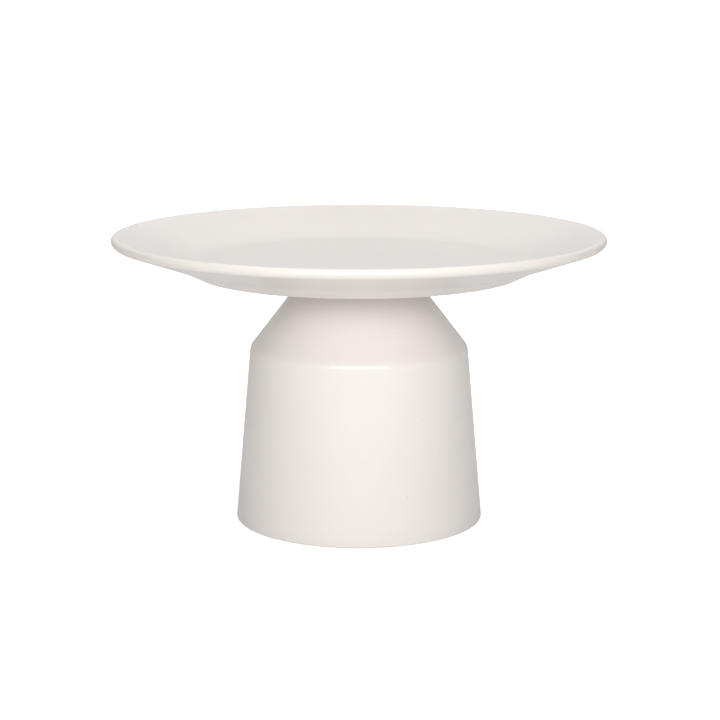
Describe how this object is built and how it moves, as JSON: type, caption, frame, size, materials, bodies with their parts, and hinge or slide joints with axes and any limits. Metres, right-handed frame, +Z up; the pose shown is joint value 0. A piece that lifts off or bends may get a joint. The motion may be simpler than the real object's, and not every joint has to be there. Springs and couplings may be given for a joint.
{
  "type": "cake stand",
  "caption": "Round pedestal cake stand: a wide shallow glazed plate clamped to a hollow shouldered pedestal by a hand screw inside it, so the plate lifts off.",
  "frame": {"origin": "centre of the pedestal's foot, on the surface that it stands on", "axes": "+Z up along the common axis of plate and pedestal; +X along one lobe gap of the hand knob, any way round otherwise"},
  "size_m": [0.3, 0.3, 0.1769],
  "materials": {
    "plate_glaze": "glossy cream-white glaze, bare clay on the foot ring's contact face",
    "insert_brass": "turned",
    "cured_resin": "cast, translucent amber grey",
    "gasket_silicone": "matte moulded silicone",
    "pedestal_glaze": "glossy cream-white glaze, bare clay on the foot rim",
    "cushion_silicone": "matte moulded silicone",
    "washer_steel": "stamped zinc-plated steel",
    "stud_steel": "rolled zinc-plated thread",
    "knob_plastic": "fine-textured moulded plastic"
  },
  "bodies": {
    "stand_base": {"pedestal": "pedestal_glaze", "seat_gasket": "gasket_silicone"},
    "plate_top": {"plate": "plate_glaze", "threaded_insert": "insert_brass", "insert_bond": "cured_resin"},
    "washer_pair": {"cushion_washer": "cushion_silicone", "clamp_washer": "washer_steel"},
    "hand_screw": {"clamp_stud": "stud_steel", "clamp_knob": "knob_plastic"}
  },
  "joints": [
    {"name": "plate_lift", "type": "slide", "parent": "stand_base", "child": "plate_top", "axis": [0, 0, 1], "range_m": [0, 0.05]},
    {"name": "screw_travel", "type": "slide", "parent": "stand_base", "child": "washer_pair", "axis": [0, 0, -1], "range_m": [0, 0.0051]},
    {"name": "knob_turn", "type": "hinge", "parent": "washer_pair", "child": "hand_screw", "pos_m": [0, 0, 0.135], "axis": [0, 0, -1], "range_deg": [0, 1800]}
  ],
  "couplings": [
    {"joint": "screw_travel", "follows": "knob_turn", "m_per_rad": 0.00015915}
  ]
}
